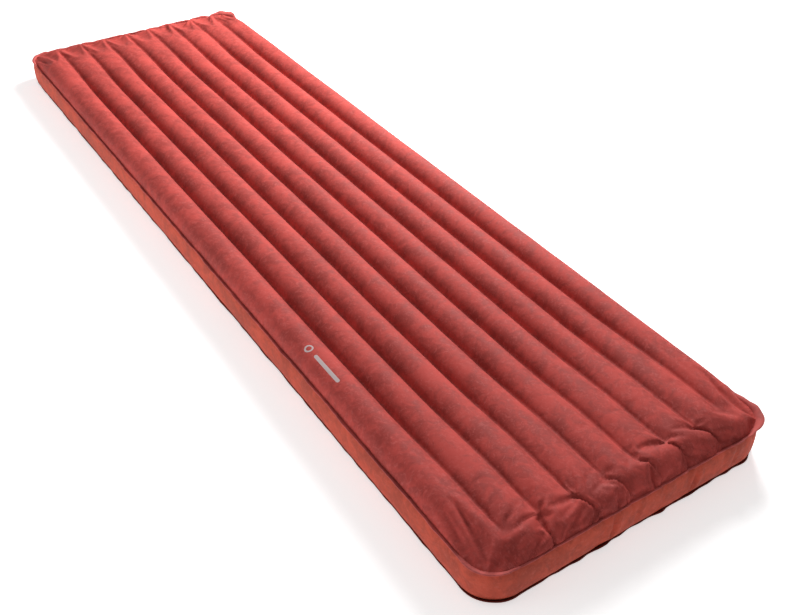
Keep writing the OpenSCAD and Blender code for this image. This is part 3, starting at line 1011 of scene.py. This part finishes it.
class SLEEPINGPAD_OT_band(bpy.types.Operator):
    """Sew the band round the pad, in a long piece and a short one with the valve holes"""
    bl_idname = "sleepingpad.band"
    bl_label = "Side band"
    bl_options = {"REGISTER", "UNDO"}

    def execute(self, context):
        scene = context.scene
        size, cloth, colours = scene.pad_panel, scene.pad_cloth, scene.pad_fabric
        upper = seam_loop(size, cloth, "top")
        lower = np.array([tuple(p) for p in seam_loop(size, cloth, "bottom")])
        steps = 16
        bm = bmesh.new()
        level = bm.verts.layers.float.new("level")
        run_layer = bm.verts.layers.float.new("run")
        runs = loop_runs(upper)
        row, edges = closed_ring(bm, upper)
        for vert, run in zip(row, runs):
            vert[level] = 0.0
            vert[run_layer] = run
        base = [Vector(v.co) for v in row]
        below = [Vector(closest_on(lower, p)) for p in base]
        for k in range(1, steps + 1):
            row, edges = next_row(bm, row, edges)
            share = k / steps
            for index, vert in enumerate(row):
                start = base[index]
                place = start.lerp(below[index], share)
                straight = outward(size, start)
                swell = size.bulge * (1 - abs(2 * share - 1) ** 3.4)
                swell += (0.0012 * math.sin(math.pi * share)
                          * wander((runs[index], share * 0.05, 0), 9, 3.0))
                if start.y < -size.half_length + 0.02:
                    for x, lean, deep in BAND_FOLDS:
                        off = start.x - (x + lean * (0.5 - share))
                        soft = math.sin(math.pi * min(1, share * 1.15)) ** 0.6 if share < 0.87 else 0
                        swell -= deep * math.exp(-(off / 0.0040) ** 2) * soft
                        swell += 0.35 * deep * math.exp(-((abs(off) - 0.009) / 0.0055) ** 2) * soft
                place += straight * swell
                for valve_x in VALVES.values():
                    if place.y > 0:
                        reach = math.hypot(place.x - valve_x, place.z - VALVE_Z)
                        flat = 1 - min(1, max(0, (reach - 0.0235) / 0.008))
                        flat = flat * flat * (3 - 2 * flat)
                        place.y += (BAND_FACE - 0.0001 - place.y) * flat
                vert.co = place
                vert[level] = share
                vert[run_layer] = runs[index]
        # holes for the necks
        for valve_x in VALVES.values():
            inside = [f for f in bm.faces if f.calc_center_median().y > 0.9 and math.hypot(
                f.calc_center_median().x - valve_x, f.calc_center_median().z - VALVE_Z) < 0.0165]
            bmesh.ops.delete(bm, geom=inside, context="FACES")
            for vert in bm.verts:
                reach = math.hypot(vert.co.x - valve_x, vert.co.z - VALVE_Z)
                if vert.co.y > 0.9 and vert.is_boundary and reach < 0.024:
                    share = 0.0172 / reach
                    vert.co.x = valve_x + (vert.co.x - valve_x) * share
                    vert.co.z = VALVE_Z + (vert.co.z - VALVE_Z) * share
        bmesh.ops.recalc_face_normals(bm, faces=bm.faces)
        probe = max(bm.faces, key=lambda f: f.calc_center_median().x)
        if probe.normal.x < 0:
            bmesh.ops.reverse_faces(bm, faces=bm.faces)
        material = fabric_material("band fabric", colours.side, flecks=0.35, clouds=0.22,
                                   pleats=0.0)
        join = size.half_width - size.corner
        for name, at_head, nodes in (("side_fabric", False, ("side_band",)),
                                     ("head_fabric", True, ("head_band",))):
            part = bm.copy()
            unwanted = [f for f in part.faces if (
                f.calc_center_median().y > 0.9 and abs(f.calc_center_median().x) < join) != at_head]
            bmesh.ops.delete(part, geom=unwanted, context="FACES")
            mesh = bpy.data.meshes.new(name)
            levels = np.array([v[part.verts.layers.float["level"]] for v in part.verts])
            run_values = np.array([v[part.verts.layers.float["run"]] for v in part.verts])
            part.to_mesh(mesh)
            part.free()
            mesh.attributes.remove(mesh.attributes["level"])
            mesh.attributes.remove(mesh.attributes["run"])
            add_uv(mesh, run_values, levels * 0.06)
            add_value(mesh, "seam_gap", (0.06 * np.minimum(levels, 1 - levels)).astype(np.float32))
            add_value(mesh, "seam_run", (run_values * 0.6).astype(np.float32))
            piece = finish_piece(context, name, mesh, material, "side_fabric", replaces=nodes)
            give_wall(piece, size.wall)
        bm.free()
        return {"FINISHED"}


class SLEEPINGPAD_OT_lips(bpy.types.Operator):
    """Add the welded lips that stand out along the upper and the lower seam"""
    bl_idname = "sleepingpad.lips"
    bl_label = "Seam lips"
    bl_options = {"REGISTER", "UNDO"}

    def execute(self, context):
        scene = context.scene
        size, cloth, colours = scene.pad_panel, scene.pad_cloth, scene.pad_fabric
        sizes = scene.pad_seam
        for name, kind, width, seed, slot, colour in (
                # the upper lip is the upper fabric painted lighter: a painted highlight for the light
                # that catches its edge
                ("upper_lip", "top", sizes.upper_width, 21.0, "top_fabric",
                 toned(colours.top, 1.10, 0.035)),
                # the lower lip is the lower fabric painted lighter: painted light that lifts it out of
                # the shade under the band
                ("lower_lip", "bottom", sizes.lower_width, 33.0, "base_fabric",
                 toned(colours.base, 1.35))):
            points, runs = resample(seam_loop(size, cloth, kind), sizes.spacing)
            top = name == "upper_lip"
            bm = bmesh.new()
            row, edges = closed_ring(bm, [p - outward(size, p) * 0.0012 for p in points])
            rings = [row]
            for share in (0.5, 1.0):
                row, edges = next_row(bm, row, edges)
                for vert, point in zip(row, points):
                    direction = outward(size, point)
                    at_corner = 2 * abs(direction.x * direction.y)
                    at_end = direction.y ** 2
                    ruffle = wander((point.x, point.y, 0), 55 if top else 48, seed)
                    slow = wander((point.x, point.y, 2), 18, seed)
                    if top:
                        right = max(0.0, min(1.0, (point.x - 0.10) / 0.15))
                        near_corner = right * max(0.0, min(1.0, (abs(point.y) - 0.80) / 0.10))
                        scallop = wander((point.x, point.y, 4), 34, seed)
                        reach = width * (1 + 0.22 * ruffle + 0.15 * slow + 0.4 * at_corner
                                         - 0.5 * at_end + near_corner * (0.25 + 1.3 * scallop))
                        rise = (0.0014 + 0.0010 * ruffle + 0.0018 * at_corner * (0.6 + ruffle)
                                - 0.0010 * at_end + near_corner * (0.0024 + 0.0052 * scallop))
                    else:
                        reach = width * (0.75 + 0.4 * slow + 0.9 * at_corner + 0.35 * at_end
                                         + (0.35 + 1.1 * at_end) * ruffle)
                        rise = (0.0006 + 0.0010 * ruffle + 0.0014 * at_corner
                                + (0.0026 * ruffle + 0.0012) * (at_end + at_corner))
                    vert.co = point + direction * reach * share + Vector((0, 0, rise * share ** 1.4))
                    if not top:
                        vert.co.z = max(vert.co.z, 0.0014)
                rings.append(row)
            for face in bm.faces:
                face.normal_update()
            if sum(f.normal.z for f in bm.faces) < 0:
                bmesh.ops.reverse_faces(bm, faces=bm.faces)
            mesh = bpy.data.meshes.new(name)
            bm.verts.index_update()
            u = np.zeros(len(bm.verts))
            v = np.zeros(len(bm.verts))
            for number, ring in enumerate(rings):
                for vert, run in zip(ring, runs):
                    u[vert.index] = run
                    v[vert.index] = number * 0.0026
            bm.to_mesh(mesh)
            bm.free()
            add_uv(mesh, u, v)
            add_value(mesh, "seam_gap", (0.004 + v).astype(np.float32))
            add_value(mesh, "seam_run", (u * 0.8).astype(np.float32))
            material = fabric_material(name.replace("_", " ") + " fabric", colour, flecks=0.2,
                                       pleats=0)
            piece = finish_piece(context, name, mesh, material, slot)
            give_wall(piece, sizes.lip_wall, 0.0)
        return {"FINISHED"}


def cloth_above(name):
    """A function that tells how high the named cloth lies over a place"""
    mesh = bpy.data.objects[name].data
    tree = BVHTree.FromPolygons([v.co.copy() for v in mesh.vertices],
                                [tuple(p.vertices) for p in mesh.polygons])

    def height(x, y, spare=0.0):
        hit = tree.ray_cast(Vector((x, y, 0.2)), Vector((0, 0, -1)))[0]
        return (hit.z if hit else CROWN) - spare
    return height


def strip_grid(bm, across_, along, place):
    """A sheet of across_ by along squares whose points are set by place(a, b), 0 to 1"""
    made = bmesh.ops.create_grid(bm, x_segments=across_, y_segments=along, size=1)
    for vert in made["verts"]:
        vert.co = place((vert.co.x + 1) / 2, (vert.co.y + 1) / 2)


class SLEEPINGPAD_OT_inside(bpy.types.Operator):
    """Make the baffles and the loft batts that lie inside the pad"""
    bl_idname = "sleepingpad.inside"
    bl_label = "Baffles and loft"
    bl_options = {"REGISTER", "UNDO"}

    def execute(self, context):
        size, colours = context.scene.pad_panel, context.scene.pad_fabric
        web = fabric_material("baffle fabric", colours.web, flecks=0.1, clouds=0.1)
        loft = loft_material("fibre loft", colours.loft)
        set_material(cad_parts["band_join_strips"],
                     fabric_material("backing fabric", colours.side, flecks=0.1))
        height = cloth_above("top_fabric")
        for number, groove in enumerate(GROOVES, 1):
            node = f"baffle_{number}"
            low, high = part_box(node)
            reach = high[1] - 0.003

            def web_place(a, b):
                y = reach * (2 * b - 1)
                top = height(groove, y, 0.0022)
                lean = 0.0016 * math.sin(math.pi * a) * wander((0, y, number), 9, 6.0)
                return Vector((groove + lean, y, low[2] + 0.0006 + (top - low[2]) * a))

            def upper_place(a, b):
                y = reach * (2 * b - 1)
                return Vector((groove + 0.007 * (a - 0.5), y, height(groove, y, 0.0016)))

            def lower_place(a, b):
                return Vector((groove + 0.007 * (a - 0.5), reach * (2 * b - 1), low[2] + 0.0006))
            bm = bmesh.new()
            strip_grid(bm, 6, 120, web_place)
            strip_grid(bm, 2, 120, upper_place)
            strip_grid(bm, 2, 120, lower_place)
            piece = inside_piece(context, node + "_web", bm, web, "baffle_fabric", node)
            give_wall(piece, 0.0005, 0.0)
        reach_, radius, half = tube_arc(size, size.crown, size.groove)
        for number in range(1, 10):
            node = f"insulation_{number}"
            low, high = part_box(node)
            crown_x = (number - 5) * PITCH

            def batt_place(a, b):
                x = low[0] + 0.001 + (high[0] - low[0] - 0.002) * a
                y = (high[1] - 0.004) * (2 * b - 1)
                fluff = 0.0011 * wander((x, y, number), 55, 8.0)
                arch = size.crown - 0.0045 - radius * (1 - math.cos(math.asin((x - crown_x) / radius)))
                z = min(arch, height(x, y, 0.0040)) + fluff
                for off in (-0.006, 0.006):
                    z = min(z, height(x + off, y, 0.0030), height(x, y + off, 0.0030))
                return Vector((x, y, z))
            bm = bmesh.new()
            strip_grid(bm, 12, 170, batt_place)
            piece = inside_piece(context, f"loft_batt_{number}", bm, loft, "loft", node)
            give_wall(piece, 0.006)
        return {"FINISHED"}


def inside_piece(context, name, bm, material, slot, node):
    """Finish a piece that lies inside the pad"""
    mesh = bpy.data.meshes.new(name)
    bm.verts.index_update()
    places = np.array([tuple(v.co) for v in bm.verts])
    bm.to_mesh(mesh)
    bm.free()
    add_uv(mesh, places[:, 1], places[:, 0] + places[:, 2])
    add_value(mesh, "seam_gap", np.ones(len(places), dtype=np.float32))
    add_value(mesh, "seam_run", places[:, 1].astype(np.float32))
    return finish_piece(context, name, mesh, material, slot, replaces=(node,))


def set_material(node, material):
    """Give all of a CAD node one material"""
    for slot in node.material_slots:
        slot.material = material


def softened(context, node, material, slot, body, extras=None, bevel=0.00028):
    """A copy of a moulded CAD node with its edges rounded, and small extras moulded on"""
    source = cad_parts[node]
    bm = bmesh.new()
    bm.from_mesh(source.data)
    bm.transform(source.matrix_world)
    bmesh.ops.remove_doubles(bm, verts=bm.verts, dist=1e-6)
    bmesh.ops.dissolve_limit(bm, angle_limit=math.radians(1), verts=bm.verts, edges=bm.edges)
    bmesh.ops.recalc_face_normals(bm, faces=bm.faces)
    if extras:
        extras(bm)
    mesh = bpy.data.meshes.new(node + "_moulding")
    bm.to_mesh(mesh)
    bm.free()
    for layer in list(mesh.uv_layers):
        mesh.uv_layers.remove(layer)
    mesh.materials.clear()
    piece = finish_piece(context, node + "_moulding", mesh, material, slot, body, (node,))
    edge = piece.modifiers.new("edges", "BEVEL")
    edge.width = bevel
    edge.segments = 2
    edge.limit_method = "ANGLE"
    edge.angle_limit = math.radians(40)
    edge.harden_normals = True
    return piece


def valve_frame(valve):
    """Turns a place about the valve's own axis (+Z out of the pad, +Y up) into the pad's frame"""
    return Matrix(((-1, 0, 0, VALVES[valve]), (0, 0, 1, BAND_FACE), (0, 1, 0, VALVE_Z),
                   (0, 0, 0, 1)))


def moulded_ring(bm, frame_matrix, radius, height, thick):
    """A fine round ring moulded on a face"""
    start, edges = closed_ring(bm, [
        frame_matrix @ Vector((radius + thick * math.cos(a), 0, height + thick * math.sin(a)))
        for a in np.linspace(0, 2 * math.pi, 8, endpoint=False)])
    axis = frame_matrix.to_3x3() @ Vector((0, 0, 1))
    made = bmesh.ops.spin(bm, geom=start + edges, cent=frame_matrix.translation, axis=axis,
                          dvec=(0, 0, 0), angle=2 * math.pi, steps=72, use_merge=True)
    faces = {f for v in made["geom_last"] if isinstance(v, bmesh.types.BMVert) for f in v.link_faces}
    walk = list(faces)
    while walk:
        for edge in walk.pop().edges:
            for face in edge.link_faces:
                if face not in faces:
                    faces.add(face)
                    walk.append(face)
    bmesh.ops.recalc_face_normals(bm, faces=list(faces))


def grip_ribs(bm, frame_matrix):
    """Upright grip ribs round a cap's skirt, clear of its hinge and its pull tab"""
    count = 44
    for number in range(count):
        turn = 2 * math.pi * (number + 0.5) / count
        if abs(math.cos(turn)) < 0.42:
            continue
        cube = bmesh.ops.create_cube(bm, size=1)["verts"]
        place = (frame_matrix @ Matrix.Rotation(turn, 4, "Z")
                 @ Matrix.Translation((0.01735, 0, 0.0090))
                 @ Matrix.Diagonal((0.0007, 0.0011, 0.0037, 1)))
        bmesh.ops.transform(bm, matrix=place, verts=cube)


def tab_ribs(bm, frame_matrix):
    """Three grip ribs across the pull tab"""
    for y in (-0.0188, -0.0204, -0.0220):
        cube = bmesh.ops.create_cube(bm, size=1)["verts"]
        place = (frame_matrix @ Matrix.Translation((0, y, 0.0084))
                 @ Matrix.Diagonal((0.0056, 0.0007, 0.0006, 1)))
        bmesh.ops.transform(bm, matrix=place, verts=cube)


class SLEEPINGPAD_OT_valves(bpy.types.Operator):
    """Mould the two valves: weld flanges, grids, collars, ribbed caps, seals and the flap"""
    bl_idname = "sleepingpad.valves"
    bl_label = "Valves"
    bl_options = {"REGISTER", "UNDO"}

    def execute(self, context):
        colours = context.scene.pad_valve
        plastic = moulded_material("valve plastic", colours.plastic)
        red = moulded_material("cap plastic", colours.red)
        rubber = moulded_material("seal rubber", colours.rubber, 0.6, 0.0001)
        for valve in VALVES:
            place = valve_frame(valve)
            cap, slot = (plastic, "valve_plastic") if valve == "inflate" else (red, "cap_plastic")

            def base_extras(bm):
                moulded_ring(bm, place, 0.0180, 0.0012, 0.00032)
                moulded_ring(bm, place, 0.0196, 0.0011, 0.00032)

            def cap_extras(bm):
                grip_ribs(bm, place)
                tab_ribs(bm, place)
                moulded_ring(bm, place, 0.0125, 0.0120, 0.00045)
                moulded_ring(bm, place, 0.0052, 0.0115, 0.00035)
            softened(context, f"{valve}_valve_base", plastic, "valve_plastic", "pad", base_extras)
            softened(context, f"{valve}_valve_grid", plastic, "valve_plastic", "pad", bevel=0.0002)
            softened(context, f"{valve}_cap_collar", plastic, "valve_plastic", f"{valve}_collar",
                     bevel=0.00022)
            softened(context, f"{valve}_cap", cap, slot, f"{valve}_lid", cap_extras, 0.00022)
            softened(context, f"{valve}_cap_seal", rubber, "seal_rubber", f"{valve}_lid", bevel=0.0002)
        softened(context, "inflate_valve_flap", rubber, "seal_rubber", "inflate_flap", bevel=0.00018)
        return {"FINISHED"}


class SLEEPINGPAD_PT_panel(bpy.types.Panel):
    """Sizes, colours and pieces of the sleeping pad"""
    bl_idname = "SLEEPINGPAD_PT_panel"
    bl_label = "Sleeping pad"
    bl_space_type = "VIEW_3D"
    bl_region_type = "UI"
    bl_category = "Sleeping pad"

    def draw(self, context):
        layout = self.layout
        for operator in OPERATORS:
            layout.operator(operator.bl_idname)
        for name in SETTINGS:
            box = layout.box()
            group = getattr(context.scene, name)
            for setting in group.__annotations__:
                box.prop(group, setting)


SETTINGS = {
    "pad_panel": PanelSizes, "pad_cloth": ClothSettings, "pad_seam": SeamSizes,
    "pad_fabric": FabricColours, "pad_valve": ValveColours, "pad_stage": StageSettings,
}
OPERATORS = (
    SLEEPINGPAD_OT_stage, SLEEPINGPAD_OT_top_panel, SLEEPINGPAD_OT_bottom_panel,
    SLEEPINGPAD_OT_band, SLEEPINGPAD_OT_lips, SLEEPINGPAD_OT_inside, SLEEPINGPAD_OT_valves,
)
CLASSES = (*SETTINGS.values(), *OPERATORS, SLEEPINGPAD_PT_panel)


def register():
    for item in CLASSES:
        bpy.utils.register_class(item)
    for name, group in SETTINGS.items():
        setattr(bpy.types.Scene, name, PointerProperty(type=group))


def unregister():
    for name in SETTINGS:
        delattr(bpy.types.Scene, name)
    for item in reversed(CLASSES):
        bpy.utils.unregister_class(item)


def main():
    register()
    for operator in OPERATORS:
        group, name = operator.bl_idname.split(".")
        getattr(getattr(bpy.ops, group), name)()
    plain = lambda box: [[float(c) for c in corner] for corner in box]
    {"cad": plain(CAD_BOX), "visual": plain(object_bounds())}


if __name__ == "__main__":
    main()
